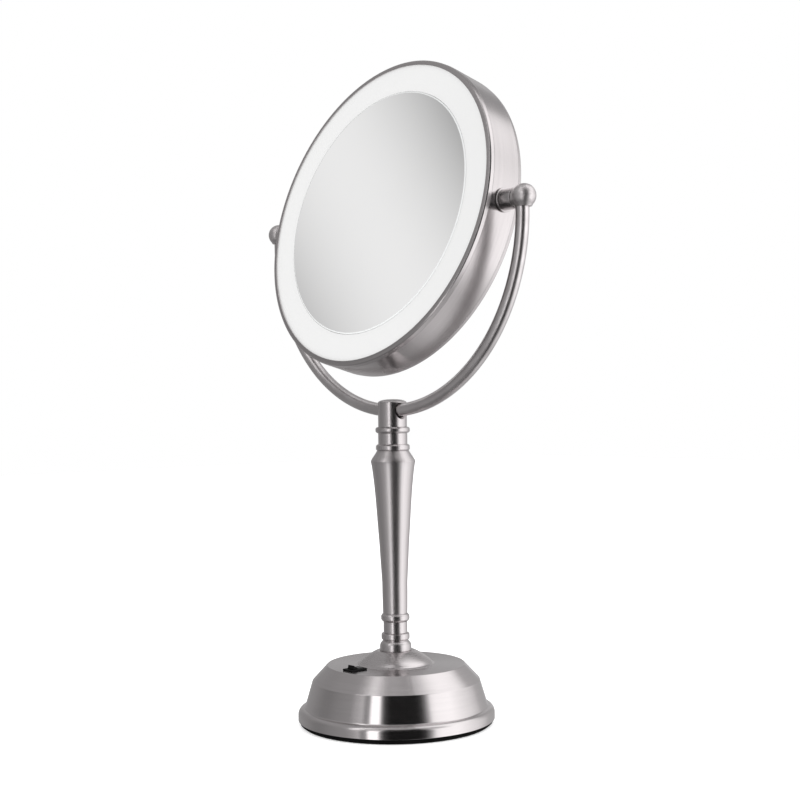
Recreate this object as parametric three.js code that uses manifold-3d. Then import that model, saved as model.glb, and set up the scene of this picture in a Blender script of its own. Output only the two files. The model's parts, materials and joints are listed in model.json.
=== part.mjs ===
// Lighted vanity mirror: a round double-sided mirror with a ring light on each face,
// hung in a U-shaped yoke on a turned column, over a weighted bell-shaped base that
// holds four cells. Millimetres, +Z up, origin at the centre of the base's underside.
// The tilt axis runs along X and the flat mirror faces -Y, leaning back.

import * as THREE from 'three';
import { mergeVertices } from 'three/addons/utils/BufferGeometryUtils.js';
import Module from 'manifold-3d';

const wasm = await Module();
wasm.setup();

// ---------------------------------------------------------------- driving sizes

const PIVOT_HEIGHT = 396.7;
const TILT_DEGREES = 14.6;
const DRUM_RADIUS = 125.3;
const DRUM_HALF_DEPTH = 17.1;
const BEZEL_INNER_RADIUS = 120.75;
const MIRROR_RADIUS = 99.0;
const MIRROR_FACE_DEPTH = 16.3;
const GLASS_THICKNESS = 3.0;
const DISH_DEPTH = 5.4;
const PIN_RADIUS = 2.5;
const PIN_CLEARANCE_RADIUS = 2.9;

const YOKE_RADIUS = 143.4;
const YOKE_CENTRE_HEIGHT = 388.9;
const YOKE_TUBE_RADIUS = 5.0;
const YOKE_BORE_RADIUS = 3.7;
const YOKE_END_HEIGHT = 393.3;
const BALL_RADIUS = 8.8;
const BALL_OFFSET = 145.2;
const BALL_HEIGHT = 397.6;
const SLEEVE_RADIUS = 7.7;

const FLANGE_RADIUS = 77.2;
const SHELL_BOTTOM = 4.1;
const PLATE_TOP = 46.6;
const TOP_EDGE_RADIUS = 54.1;
const COVER_TOP = 6.6;
const BALLAST_BOTTOM = 36.0;
const BALLAST_TOP = 45.1;
const FIXING_RADIUS = 56.0;

const ROD_RADIUS = 5.0;
const ROD_CLEARANCE_RADIUS = 5.4;
const ROD_TOP = 237.2;
const SOCKET_BOTTOM = 232.4;
const SOCKET_TOP = 251.6;
const STEM_RADIUS = 11.3;
const CROSS_HOLE_HEIGHT = 245.6;

const SWITCH_Y = -42.0;
const ROCKER_AXIS_HEIGHT = 46.0;
const ROCKER_TILT_DEGREES = 15;

const CELL_RADIUS = 7.25;
const CELL_LENGTH = 50.5;
const CELL_PITCH = 15.0;
const CELL_HEIGHT = 15.2;

const HEAD_SEGMENTS = 40;
const FRAME_SEGMENTS = 28;
const BASE_SEGMENTS = 36;
const COLUMN_SEGMENTS = 20;

// ---------------------------------------------------------------- materials

function finish(color, roughness, metalness) {
  return new THREE.MeshStandardMaterial({ color, roughness, metalness });
}

const satinNickel = finish(0xb4b0ad, 0.3, 1.0);
const zincSteel = finish(0xa4a8ac, 0.4, 1.0);
const castIron = finish(0x3a3a3c, 0.7, 0.8);
const blackRubber = finish(0x0c0c0d, 0.75, 0.0);
const blackPlastic = finish(0x18181a, 0.5, 0.0);
const glossBlack = finish(0x070708, 0.15, 0.0);
const whitePlastic = finish(0xe9e9e7, 0.5, 0.0);
const opalDiffuser = finish(0xf4f4f2, 0.35, 0.0);
const silveredGlass = finish(0xe6e8ea, 0.03, 1.0);
const boardGreen = finish(0x1d5a34, 0.55, 0.0);
const boardWhite = finish(0xe4e4e0, 0.5, 0.0);
const cellJacket = finish(0x2d3a55, 0.35, 0.3);
const springSteel = finish(0xc0c2c4, 0.3, 1.0);
const wireJacket = finish(0x1b1b1c, 0.5, 0.0);

// ---------------------------------------------------------------- shape helpers

function closeRing(profile) {
  const first = profile[0];
  const last = profile[profile.length - 1];
  const onAxis = first[0] === 0 && last[0] === 0;
  return onAxis ? profile : [...profile, first];
}

function signedArea(profile) {
  let sum = 0;
  profile.forEach(([r, z], i) => {
    const [r2, z2] = profile[(i + 1) % profile.length];
    sum += r * z2 - r2 * z;
  });
  return sum / 2;
}

// Revolves [radius, height] points about Y, always with its faces pointing out.
function latheY(profile, segments) {
  const ordered = signedArea(profile) < 0 ? [...profile].reverse() : profile;
  const points = closeRing(ordered).map(([r, z]) => new THREE.Vector2(r, z));
  return new THREE.LatheGeometry(points, segments);
}

function latheZ(profile, segments) {
  return latheY(profile, segments).rotateX(Math.PI / 2);
}

function latheX(profile, segments) {
  return latheZ(profile, segments).rotateY(Math.PI / 2);
}

// Extrudes an outline given in [y, z] along X between two stations.
function prismX(outline, x0, x1) {
  const shape = new THREE.Shape(outline.map(([y, z]) => new THREE.Vector2(y, z)));
  const geometry = new THREE.ExtrudeGeometry(shape, { depth: x1 - x0, bevelEnabled: false });
  const turn = new THREE.Matrix4().set(0, 0, 1, x0, 1, 0, 0, 0, 0, 1, 0, 0, 0, 0, 0, 1);
  return geometry.applyMatrix4(turn);
}

function block(x0, x1, y0, y1, z0, z1) {
  const geometry = new THREE.BoxGeometry(x1 - x0, y1 - y0, z1 - z0);
  return geometry.translate((x0 + x1) / 2, (y0 + y1) / 2, (z0 + z1) / 2);
}

function rodZ(radius, z0, z1, x, y, segments = 16) {
  return latheZ([[0, z0], [radius, z0], [radius, z1], [0, z1]], segments).translate(x, y, 0);
}

function rodX(radius, x0, x1, segments = 16) {
  return latheX([[0, x0], [radius, x0], [radius, x1], [0, x1]], segments);
}

function toSolid(geometry) {
  const bare = geometry.clone();
  bare.deleteAttribute('normal');
  bare.deleteAttribute('uv');
  const merged = mergeVertices(bare, 1e-4);
  const corners = [];
  for (let i = 0; i < merged.index.count; i += 3) {
    const a = merged.index.getX(i);
    const b = merged.index.getX(i + 1);
    const c = merged.index.getX(i + 2);
    if (a !== b && b !== c && c !== a) corners.push(a, b, c);
  }
  const mesh = new wasm.Mesh({
    numProp: 3,
    vertProperties: new Float32Array(merged.attributes.position.array),
    triVerts: new Uint32Array(corners),
  });
  return new wasm.Manifold(mesh);
}

function toGeometry(solid) {
  const mesh = solid.getMesh();
  const geometry = new THREE.BufferGeometry();
  geometry.setAttribute('position', new THREE.BufferAttribute(new Float32Array(mesh.vertProperties), 3));
  geometry.setIndex(new THREE.BufferAttribute(new Uint32Array(mesh.triVerts), 1));
  return geometry;
}

function joined(base, pieces) {
  return toGeometry(pieces.reduce((solid, piece) => solid.add(toSolid(piece)), toSolid(base)));
}

function cut(base, tools) {
  return toGeometry(tools.reduce((solid, tool) => solid.subtract(toSolid(tool)), toSolid(base)));
}

const model = new THREE.Group();

function addTo(group, name, geometry, material) {
  const mesh = new THREE.Mesh(geometry, material);
  mesh.name = name;
  group.add(mesh);
  return mesh;
}

function add(name, geometry, material) {
  return addTo(model, name, geometry, material);
}

// ---------------------------------------------------------------- base

const switchSlot = block(-4.7, 4.7, SWITCH_Y - 6.9, SWITCH_Y + 6.9, 40, 50);

const shellProfile = [
  [76.0, SHELL_BOTTOM], [FLANGE_RADIUS, SHELL_BOTTOM], [FLANGE_RADIUS, 8.6], [76.5, 10.8],
  [74.6, 12.9], [71.9, 14.0], [65.8, 34.2], [TOP_EDGE_RADIUS, PLATE_TOP],
  [ROD_CLEARANCE_RADIUS, PLATE_TOP], [ROD_CLEARANCE_RADIUS, 45.4], [53.6, 45.4],
  [64.7, 33.6], [70.9, 13.1], [73.8, 11.9], [75.4, 10.3], [76.0, 8.4],
];
add('base_shell', cut(latheZ(shellProfile, BASE_SEGMENTS), [switchSlot]), satinNickel);

const footProfile = [
  [66.0, 0], [73.2, 0], [75.2, 0.8], [75.9, 2.4], [75.9, SHELL_BOTTOM], [66.0, SHELL_BOTTOM],
];
add('foot_ring', latheZ(footProfile, BASE_SEGMENTS), blackRubber);

// Three bayonet tabs on the cover pass through notches in the plate's opening.
const DOOR_RADIUS = 44.2;
const TAB_RADIUS = 48.4;
const TAB_STEP = 120;
const TAB_WIDTH = 16;

function sector(inner, outer, middleDegrees, width, z0, z1) {
  const piece = block(inner, outer, -width / 2, width / 2, z0, z1);
  return piece.rotateZ(THREE.MathUtils.degToRad(middleDegrees));
}

const fixingAngles = [90, 210, 330];
const fixings = fixingAngles.map((degrees) => {
  const angle = THREE.MathUtils.degToRad(degrees);
  return [FIXING_RADIUS * Math.cos(angle), FIXING_RADIUS * Math.sin(angle)];
});

const coverProfile = [
  [44.6, SHELL_BOTTOM], [75.6, SHELL_BOTTOM], [75.6, COVER_TOP], [44.6, COVER_TOP],
];
const coverCuts = fixings.map(([x, y]) => rodZ(1.7, 0, 10, x, y, 12));
for (let i = 0; i < 3; i += 1) {
  coverCuts.push(sector(40, TAB_RADIUS + 0.4, 30 + TAB_STEP * i, TAB_WIDTH + 1.2, 2, 9));
}
add('base_plate', cut(latheZ(coverProfile, BASE_SEGMENTS), coverCuts), blackPlastic);

const doorProfile = [
  [0, SHELL_BOTTOM], [DOOR_RADIUS, SHELL_BOTTOM], [DOOR_RADIUS, 8.1], [41.0, 8.1],
  [41.0, 6.4], [0, 6.4],
];
const doorParts = [block(-18, 18, -2, 2, 1.8, 4.6)];
for (let i = 0; i < 3; i += 1) {
  doorParts.push(sector(42, TAB_RADIUS, TAB_STEP * i, TAB_WIDTH, 6.9, 8.1));
}
add('battery_door', joined(latheZ(doorProfile, 36), doorParts), blackPlastic);

fixings.forEach(([x, y], i) => {
  const post = latheZ(
    [[1.6, COVER_TOP], [3.5, COVER_TOP], [3.5, BALLAST_BOTTOM], [0, BALLAST_BOTTOM], [0, 16], [1.6, 16]],
    12,
  );
  add(`standoff_post_${i + 1}`, post.translate(x, y, 0), zincSteel);
});

fixings.forEach(([x, y], i) => {
  const screw = latheZ(
    [[0, 2.6], [2.2, 2.6], [3.0, 3.1], [3.0, SHELL_BOTTOM], [1.4, SHELL_BOTTOM], [1.4, 14], [0, 14]],
    12,
  );
  add(`base_screw_${i + 1}`, screw.translate(x, y, 0), zincSteel);
});

const ballastProfile = [
  [ROD_CLEARANCE_RADIUS, BALLAST_BOTTOM], [60, BALLAST_BOTTOM], [60, 37.2], [52.6, BALLAST_TOP],
  [ROD_CLEARANCE_RADIUS, BALLAST_TOP],
];
const switchPocket = block(-6.2, 6.2, SWITCH_Y - 8.4, SWITCH_Y + 8.4, 30, 50);
add('ballast_weight', cut(latheZ(ballastProfile, 30), [switchPocket]), castIron);

// ---------------------------------------------------------------- cells and their box

const BOX_BOTTOM = 8.4;
const BOX_CEILING = 22.8;
const boxOuter = block(-31.7, 31.7, -29.5, 29.5, BOX_BOTTOM, 24.2);
const boxInner = block(-30.2, 30.2, -28.1, 28.1, 0, BOX_CEILING);
const boxEars = fixings.map(([x, y]) => {
  const ear = block(24, FIXING_RADIUS + 5.5, -4, 4, 22.6, 24.2);
  return ear.rotateZ(Math.atan2(y, x));
});
const earHoles = fixings.map(([x, y]) => rodZ(3.8, 20, 26, x, y, 12));
const boxSolid = joined(boxOuter, boxEars);
add('battery_box', cut(boxSolid, [boxInner, ...earHoles]), blackPlastic);

const cellProfile = [
  [0, -CELL_LENGTH / 2], [CELL_RADIUS, -CELL_LENGTH / 2], [CELL_RADIUS, CELL_LENGTH / 2 - 1],
  [2.75, CELL_LENGTH / 2 - 1], [2.75, CELL_LENGTH / 2], [0, CELL_LENGTH / 2],
];
for (let i = 0; i < 4; i += 1) {
  const cell = latheY(cellProfile, 16);
  if (i % 2 === 1) cell.rotateZ(Math.PI);
  cell.translate((i - 1.5) * CELL_PITCH, 0, CELL_HEIGHT);
  add(`battery_cell_${i + 1}`, cell, cellJacket);
}

function contactStrip(side) {
  const plate = block(-29, 29, 27.2, 27.7, 9.5, 20.5);
  const bumps = [0, 1, 2, 3].map((i) => {
    const bump = latheY([[0, 25.55], [2.4, 25.55], [3.2, 27.4], [0, 27.4]], 10);
    return bump.translate((i - 1.5) * CELL_PITCH, 0, CELL_HEIGHT);
  });
  const strip = joined(plate, bumps);
  return side > 0 ? strip : strip.rotateZ(Math.PI);
}
add('contact_strip_front', contactStrip(-1), springSteel);
add('contact_strip_rear', contactStrip(1), springSteel);

const boardParts = [
  block(-12, -4, 32, 42, 31.6, 34.6),
  block(2, 9, 31.5, 37.5, 32.6, 34.6),
  block(3, 12, 40, 46, 30.4, 34.6),
];
const board = block(-16, 16, 29, 48, 34.4, BALLAST_BOTTOM);
add('driver_board', joined(board, boardParts), boardGreen);

// ---------------------------------------------------------------- rocker switch

const bezel = block(-5.5, 5.5, SWITCH_Y - 7.8, SWITCH_Y + 7.8, PLATE_TOP, 48.1);
const switchBody = block(-4.4, 4.4, SWITCH_Y - 6.6, SWITCH_Y + 6.6, 34.5, 47);
const switchWell = block(-3.7, 3.7, SWITCH_Y - 6.05, SWITCH_Y + 6.05, 41.5, 50);
add('switch_housing', cut(joined(bezel, [switchBody]), [switchWell]), blackPlastic);

const rockerOutline = [
  [-4.95, 0.6], [-3.6, -2.6], [3.6, -2.6], [4.95, 0.6],
  [4.95, 3.9], [2.6, 3.0], [0, 2.6], [-2.6, 3.0], [-4.95, 3.9],
];
const rocker = prismX(rockerOutline, -3.4, 3.4);
rocker.rotateX(THREE.MathUtils.degToRad(-ROCKER_TILT_DEGREES));
rocker.translate(0, SWITCH_Y, ROCKER_AXIS_HEIGHT);
add('switch_rocker', rocker, glossBlack);

// ---------------------------------------------------------------- column

const bore = ROD_CLEARANCE_RADIUS;

const escutcheonProfile = [
  [30.5, PLATE_TOP], [28.9, 47.8], [25.2, 50.5], [20.2, 53.8], [17.2, 55.7],
  [15.0, 57.0], [bore, 57.0], [bore, PLATE_TOP], [9.0, PLATE_TOP], [9.0, 54.8], [14.5, 54.8],
  [28.2, PLATE_TOP],
];
add('column_escutcheon', latheZ(escutcheonProfile, 28), satinNickel);

const bulbProfile = [
  [bore, 57.0], [12.4, 57.0], [12.4, 60.5], [11.8, 62.7], [10.8, 64.2], [9.9, 65.0],
  [10.7, 65.9], [11.1, 67.2], [11.1, 69.2], [10.5, 70.3], [9.4, 70.8], [bore, 70.8],
];
add('lower_bulb', latheZ(bulbProfile, COLUMN_SEGMENTS), satinNickel);

const lowerNeckProfile = [
  [bore, 70.8], [9.4, 70.8], [9.35, 79.6], [10.5, 80.2], [11.2, 81.6], [11.2, 84.1],
  [10.5, 85.3], [9.7, 85.9], [bore, 85.9],
];
add('lower_neck', latheZ(lowerNeckProfile, COLUMN_SEGMENTS), satinNickel);

const taperProfile = [
  [bore, 85.9], [9.7, 85.9], [9.9, 108.0], [12.1, 147.0], [13.5, 168.0],
  [14.9, 185.5], [17.0, 203.3], [17.7, 205.5], [16.8, 207.3], [14.8, 210.3],
  [12.6, 213.9], [bore, 213.9], [bore, 202.0], [12.4, 197.0], [7.8, 108.0],
  [bore, 92.0],
];
add('tapered_column', latheZ(taperProfile, COLUMN_SEGMENTS), satinNickel);

const upperNeckProfile = [
  [bore, 213.9], [12.3, 213.9], [13.3, 215.1], [13.3, 217.5], [12.4, 218.7], [11.45, 219.3],
  [11.45, 227.5], [12.6, 228.1], [13.5, 229.3], [13.5, 231.3], [12.6, SOCKET_BOTTOM],
  [bore, SOCKET_BOTTOM],
];
add('upper_neck', latheZ(upperNeckProfile, COLUMN_SEGMENTS), satinNickel);

const socketProfile = [
  [0, SOCKET_BOTTOM], [STEM_RADIUS, SOCKET_BOTTOM], [STEM_RADIUS, SOCKET_TOP], [0, SOCKET_TOP],
];
const socketCuts = [
  rodX(5.7, -20, 20, 24).translate(0, 0, CROSS_HOLE_HEIGHT),
  rodZ(bore, SOCKET_BOTTOM - 1, ROD_TOP + 0.3, 0, 0, 24),
  rodZ(2.0, ROD_TOP, CROSS_HOLE_HEIGHT, 0, 0, 12),
  rodX(2.1, 4, 20, 12).rotateZ(Math.PI / 2).translate(0, 0, CROSS_HOLE_HEIGHT),
];
add('yoke_socket', cut(latheZ(socketProfile, COLUMN_SEGMENTS), socketCuts), satinNickel);

const capProfile = [
  [0, SOCKET_TOP], [STEM_RADIUS, SOCKET_TOP], [10.9, 252.2], [9.2, 253.3], [5.8, 254.1], [0, 254.4],
];
add('stem_cap', latheZ(capProfile, COLUMN_SEGMENTS), satinNickel);

const setScrew = rodX(1.95, 5.15, 10.8, 12).rotateZ(Math.PI / 2);
add('yoke_set_screw', setScrew.translate(0, 0, CROSS_HOLE_HEIGHT), zincSteel);

const rodProfile = [[2.6, 26.6], [ROD_RADIUS, 26.6], [ROD_RADIUS, ROD_TOP], [2.6, ROD_TOP]];
add('tie_rod', latheZ(rodProfile, 16), zincSteel);

const washerProfile = [[5.3, 34.8], [10.5, 34.8], [10.5, BALLAST_BOTTOM], [5.3, BALLAST_BOTTOM]];
add('lock_washer', latheZ(washerProfile, 16), zincSteel);

const nutHeight = [28.6, 34.8];
const nutBody = latheZ([[0, nutHeight[0]], [9.8, nutHeight[0]], [9.8, nutHeight[1]], [0, nutHeight[1]]], 6);
add('tie_nut', cut(nutBody, [rodZ(5.25, 20, 40, 0, 0, 16)]), zincSteel);

// ---------------------------------------------------------------- yoke

// Down the left arm, round the half circle and up the right arm.
class YokeLine extends THREE.Curve {
  getPoint(t, target = new THREE.Vector3()) {
    const arm = YOKE_END_HEIGHT - YOKE_CENTRE_HEIGHT;
    const bend = Math.PI * YOKE_RADIUS;
    const s = t * (bend + 2 * arm);
    if (s < arm) return target.set(-YOKE_RADIUS, 0, YOKE_END_HEIGHT - s);
    if (s > arm + bend) return target.set(YOKE_RADIUS, 0, YOKE_CENTRE_HEIGHT + s - arm - bend);
    const angle = (s - arm) / YOKE_RADIUS;
    const x = -YOKE_RADIUS * Math.cos(angle);
    const z = YOKE_CENTRE_HEIGHT - YOKE_RADIUS * Math.sin(angle);
    return target.set(x, 0, z);
  }
}

function circle(radius, sides) {
  const points = [];
  for (let i = 0; i < sides; i += 1) {
    const angle = (2 * Math.PI * i) / sides;
    points.push(new THREE.Vector2(radius * Math.cos(angle), radius * Math.sin(angle)));
  }
  return points;
}

const tubeSection = new THREE.Shape(circle(YOKE_TUBE_RADIUS, 10));
tubeSection.holes.push(new THREE.Path(circle(YOKE_BORE_RADIUS, 6)));
const tube = new THREE.ExtrudeGeometry(tubeSection, {
  steps: 34,
  bevelEnabled: false,
  extrudePath: new YokeLine(),
});
const wireEntry = rodZ(1.7, 236, 243, 0, 0, 10);
add('yoke_tube', cut(tube, [wireEntry]), satinNickel);

// A lead runs up inside the rod and through the right arm of the yoke. Its stations are
// uneven, close together where it turns into the arm, so it is stepped by index.
class LeadLine extends THREE.Curve {
  constructor() {
    super();
    this.stations = [[0, 25.2], [0, 120], [0, 241.2], [0.8, 243.5], [3.0, 244.9]];
    for (let i = 0; i <= 16; i += 1) {
      const angle = THREE.MathUtils.degToRad(-86 + (84 * i) / 16);
      const x = YOKE_RADIUS * Math.cos(angle);
      this.stations.push([x, YOKE_CENTRE_HEIGHT + YOKE_RADIUS * Math.sin(angle)]);
    }
  }

  getPoint(t, target = new THREE.Vector3()) {
    const place = Math.min(Math.max(t, 0), 1) * (this.stations.length - 1);
    const i = Math.min(Math.floor(place), this.stations.length - 2);
    const [x0, z0] = this.stations[i];
    const [x1, z1] = this.stations[i + 1];
    const part = place - i;
    return target.set(x0 + (x1 - x0) * part, 0, z0 + (z1 - z0) * part);
  }

  getPointAt(u, target) {
    return this.getPoint(u, target);
  }

  getTangentAt(u, target) {
    return this.getTangent(u, target);
  }
}

const leadLine = new LeadLine();
const lead = new THREE.ExtrudeGeometry(new THREE.Shape(circle(0.9, 6)), {
  steps: leadLine.stations.length - 1,
  bevelEnabled: false,
  extrudePath: leadLine,
});
add('lead_wire', lead, wireJacket);

for (const [side, sign] of [['left', -1], ['right', 1]]) {
  const flip = sign < 0 ? Math.PI : 0;
  const place = (geometry) => geometry.rotateZ(flip).translate(0, 0, PIVOT_HEIGHT);
  const sphere = new THREE.SphereGeometry(BALL_RADIUS, 16, 8).rotateX(Math.PI / 2);
  sphere.translate(BALL_OFFSET, 0, BALL_HEIGHT - PIVOT_HEIGHT);
  const collar = rodX(7.4, 138.0, BALL_OFFSET, 16);
  const tubeBore = rodZ(5.25, -20, 393.6 - PIVOT_HEIGHT, YOKE_RADIUS, 0, 20);
  const pinBore = rodX(2.65, 130, 149.3, 16);
  const sleeveSeat = block(120, 138.0, -20, 20, -20, 20);
  const ball = cut(joined(sphere, [collar]), [tubeBore, pinBore, sleeveSeat]);
  add(`pivot_ball_${side}`, place(ball), satinNickel);

  const sleeve = latheX(
    [[PIN_CLEARANCE_RADIUS, 127.2], [SLEEVE_RADIUS, 127.2], [SLEEVE_RADIUS, 137.7], [PIN_CLEARANCE_RADIUS, 137.7]],
    20,
  );
  add(`pivot_sleeve_${side}`, place(sleeve), satinNickel);

  add(`pivot_pin_${side}`, place(rodX(PIN_RADIUS, 116.5, 149, 16)), zincSteel);

  const wave = latheX([[2.7, 119.9], [5.2, 119.9], [5.2, 120.9], [2.7, 120.9]], 16);
  add(`friction_washer_${side}`, place(wave), springSteel);

  const hex = latheX([[0, 117.0], [4.9, 117.0], [4.9, 119.6], [0, 119.6]], 6);
  add(`lock_nut_${side}`, place(cut(hex, [rodX(2.65, 110, 125, 16)])), zincSteel);
}

// ---------------------------------------------------------------- head

// The head is drawn upright about the tilt axis, with depth measured towards each
// face: the front is -Y and the rear is +Y. The whole group then leans back.
const head = new THREE.Group();
head.position.set(0, 0, PIVOT_HEIGHT);
head.rotation.set(THREE.MathUtils.degToRad(-TILT_DEGREES), 0, 0);
model.add(head);

function turnedHead(profile, facing, segments = HEAD_SEGMENTS) {
  return latheY(profile.map(([r, depth]) => [r, depth * facing]), segments);
}

const pinHole = rodX(PIN_CLEARANCE_RADIUS, -140, 140, 16);

const bandProfile = [[124.1, -12.8], [DRUM_RADIUS, -12.8], [DRUM_RADIUS, 12.8], [124.1, 12.8]];
addTo(head, 'rim_band', cut(turnedHead(bandProfile, 1), [pinHole]), satinNickel);

const halfFrame = [
  [20, 1.5], [95.5, 1.5], [95.5, 12.7], [101.0, 12.7],
  [101.0, 1.5], [120.9, 1.5], [120.9, 12.7], [122.2, 12.7],
];
const frameProfile = [...halfFrame, ...halfFrame.map(([r, d]) => [r, -d]).reverse()];
const pivotPockets = [
  block(116.2, 128, -6.8, 6.8, -8, 8),
  block(-128, -116.2, -6.8, 6.8, -8, 8),
];
addTo(head, 'head_frame', cut(turnedHead(frameProfile, 1, FRAME_SEGMENTS), pivotPockets), whitePlastic);

const bezelProfile = [
  [BEZEL_INNER_RADIUS, DRUM_HALF_DEPTH], [124.6, DRUM_HALF_DEPTH], [DRUM_RADIUS, 16.4],
  [DRUM_RADIUS, 13.0], [122.8, 13.0], [122.8, 16.3], [BEZEL_INNER_RADIUS, 16.3],
];
const diffuserProfile = [[99.4, 13.0], [122.5, 13.0], [122.5, 16.0], [99.4, 16.0]];
const boardProfile = [[103, 1.8], [116, 1.8], [116, 3.0], [103, 3.0]];
const LED_COUNT = 14;

function ledBoard(facing) {
  const lamps = [];
  const depths = [2.6 * facing, 4.0 * facing].sort((a, b) => a - b);
  for (let i = 0; i < LED_COUNT; i += 1) {
    const lamp = block(107.8, 111.2, depths[0], depths[1], -1.7, 1.7);
    lamps.push(lamp.rotateY((2 * Math.PI * (i + 0.5)) / LED_COUNT));
  }
  return joined(turnedHead(boardProfile, facing, FRAME_SEGMENTS), lamps);
}

for (const [side, facing] of [['front', -1], ['rear', 1]]) {
  addTo(head, `bezel_${side}`, turnedHead(bezelProfile, facing), satinNickel);
  addTo(head, `diffuser_${side}`, turnedHead(diffuserProfile, facing), opalDiffuser);
  addTo(head, `led_board_${side}`, ledBoard(facing), boardWhite);
}

const glassBack = MIRROR_FACE_DEPTH - GLASS_THICKNESS;
const flatGlass = [
  [0, glassBack], [MIRROR_RADIUS, glassBack], [MIRROR_RADIUS, MIRROR_FACE_DEPTH], [0, MIRROR_FACE_DEPTH],
];
addTo(head, 'mirror_flat', turnedHead(flatGlass, -1), silveredGlass);

// The magnifying glass is dished, with the rim level with the flat glass's.
const dishRadii = [0, 36, 69, MIRROR_RADIUS];
const dish = (r) => DISH_DEPTH * (1 - (r / MIRROR_RADIUS) ** 2);
const dishedGlass = [
  ...dishRadii.map((r) => [r, glassBack - dish(r)]),
  ...[...dishRadii].reverse().map((r) => [r, MIRROR_FACE_DEPTH - dish(r)]),
];
addTo(head, 'mirror_magnifying', turnedHead(dishedGlass, 1), silveredGlass);

for (const [side, sign] of [['left', -1], ['right', 1]]) {
  const flip = sign < 0 ? Math.PI : 0;
  const bush = latheX([[PIN_CLEARANCE_RADIUS, 121.2], [6.5, 121.2], [6.5, 123.5], [PIN_CLEARANCE_RADIUS, 123.5]], 16);
  addTo(head, `pivot_bush_${side}`, bush.rotateZ(flip), blackPlastic);
  const ring = latheX([[PIN_CLEARANCE_RADIUS, 125.5], [9.0, 125.5], [9.0, 126.9], [PIN_CLEARANCE_RADIUS, 126.9]], 20);
  addTo(head, `rim_washer_${side}`, ring.rotateZ(flip), satinNickel);
}

export default model;
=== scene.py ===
# %% [markdown]
# A lighted vanity mirror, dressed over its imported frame.
# The frame holds every solid at its true size: a weighted base, a turned column, a U-shaped
# yoke and a round head with a ring light on each face. Here each visible solid gets a finer
# surface and a real finish. Every object is in metres, and the frame is the only thing read.

# %% Load the frame
import json
import math

import bmesh
import bpy
from mathutils import Matrix, Vector


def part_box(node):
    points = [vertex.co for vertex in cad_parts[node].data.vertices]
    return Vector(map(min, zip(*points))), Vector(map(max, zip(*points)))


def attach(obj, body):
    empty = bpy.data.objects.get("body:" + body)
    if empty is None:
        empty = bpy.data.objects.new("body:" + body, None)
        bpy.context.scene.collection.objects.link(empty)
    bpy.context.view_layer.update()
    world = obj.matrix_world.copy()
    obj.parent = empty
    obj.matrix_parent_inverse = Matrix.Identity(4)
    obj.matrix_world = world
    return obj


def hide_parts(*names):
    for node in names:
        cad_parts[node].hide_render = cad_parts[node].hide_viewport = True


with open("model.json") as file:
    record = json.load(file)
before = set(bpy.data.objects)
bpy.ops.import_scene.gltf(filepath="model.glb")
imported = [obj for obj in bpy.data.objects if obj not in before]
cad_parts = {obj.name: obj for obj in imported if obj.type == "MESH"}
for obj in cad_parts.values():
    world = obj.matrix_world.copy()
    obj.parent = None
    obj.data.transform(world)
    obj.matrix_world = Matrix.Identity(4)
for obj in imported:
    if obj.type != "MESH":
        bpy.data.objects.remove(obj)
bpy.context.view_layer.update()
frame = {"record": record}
MM = 0.001

# %% [markdown]
# The stack's levels come from the frame, so each piece ends where its solid does. The profiles
# below are in millimetres, the unit a turner would read off a drawing.

# %% Levels of the stack
LOW, HIGH = 0, 1


def level(node, end):
    """A node's lowest or highest level in millimetres."""
    return round(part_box(node)[end][2] / MM, 3)


FOOT_TOP = level("foot_ring", HIGH)
BASE_TOP = level("base_shell", HIGH)
DOME_TOP = level("column_escutcheon", HIGH)
BULB_TOP = level("lower_bulb", HIGH)
TAPER_FOOT = level("tapered_column", LOW)
TAPER_TOP = level("tapered_column", HIGH)
SOCKET_FOOT = level("yoke_socket", LOW)
SOCKET_TOP = level("yoke_socket", HIGH)
tilt = next(joint for joint in frame["record"]["behaviour"]["joints"] if joint["name"] == "head_tilt")
PIVOT = round(tilt["pos_m"][2] / MM, 3)
print("base levels:", FOOT_TOP, BASE_TOP, "pivot:", PIVOT)
print("column levels:", DOME_TOP, BULB_TOP, TAPER_FOOT, TAPER_TOP, SOCKET_FOOT, SOCKET_TOP)

# %% [markdown]
# The camera stands to the mirror's right, a little below the head and just over a metre away.
# A long lens keeps the verticals calm. The camera's axes are worked out from a heading, a
# small pitch and a small roll, so that the stand leans in the frame as little as it should.

# %% Camera
HEADING = math.radians(48.68)
DISTANCE = 1.11525
EYE_HEIGHT = 0.25177
FOCAL_LENGTH = 63.71
SENSOR_WIDTH = 36.0
TURN = math.radians(-0.316)
PITCH = math.radians(0.094)
ROLL = math.radians(-0.821)


def camera_axes():
    heading = HEADING + TURN
    ahead = Vector((
        -math.sin(heading) * math.cos(PITCH),
        math.cos(heading) * math.cos(PITCH),
        math.sin(PITCH),
    ))
    sideways = Vector((math.cos(heading), math.sin(heading), 0.0))
    above = sideways.cross(ahead)
    right = sideways * math.cos(ROLL) + above * math.sin(ROLL)
    up = above * math.cos(ROLL) - sideways * math.sin(ROLL)
    return right, up, ahead


lens = bpy.data.cameras.new("camera")
lens.lens = FOCAL_LENGTH
lens.sensor_width = SENSOR_WIDTH
lens.clip_start = 0.01
camera = bpy.data.objects.new("camera", lens)
bpy.context.collection.objects.link(camera)
right, up, ahead = camera_axes()
turn = Matrix((right, up, -ahead)).transposed().to_4x4()
eye = Vector((DISTANCE * math.sin(HEADING), -DISTANCE * math.cos(HEADING), EYE_HEIGHT))
camera.matrix_world = Matrix.Translation(eye) @ turn
bpy.context.scene.camera = camera
print("camera at", [round(v, 3) for v in eye])

# %% [markdown]
# Finishes are written as recipes. A Flow is one output travelling along a link, and ordinary
# arithmetic on it adds Math nodes, so a pattern reads like a sum. Every other node comes from
# make, which is told the node's type, its settings and what goes into its sockets.

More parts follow.
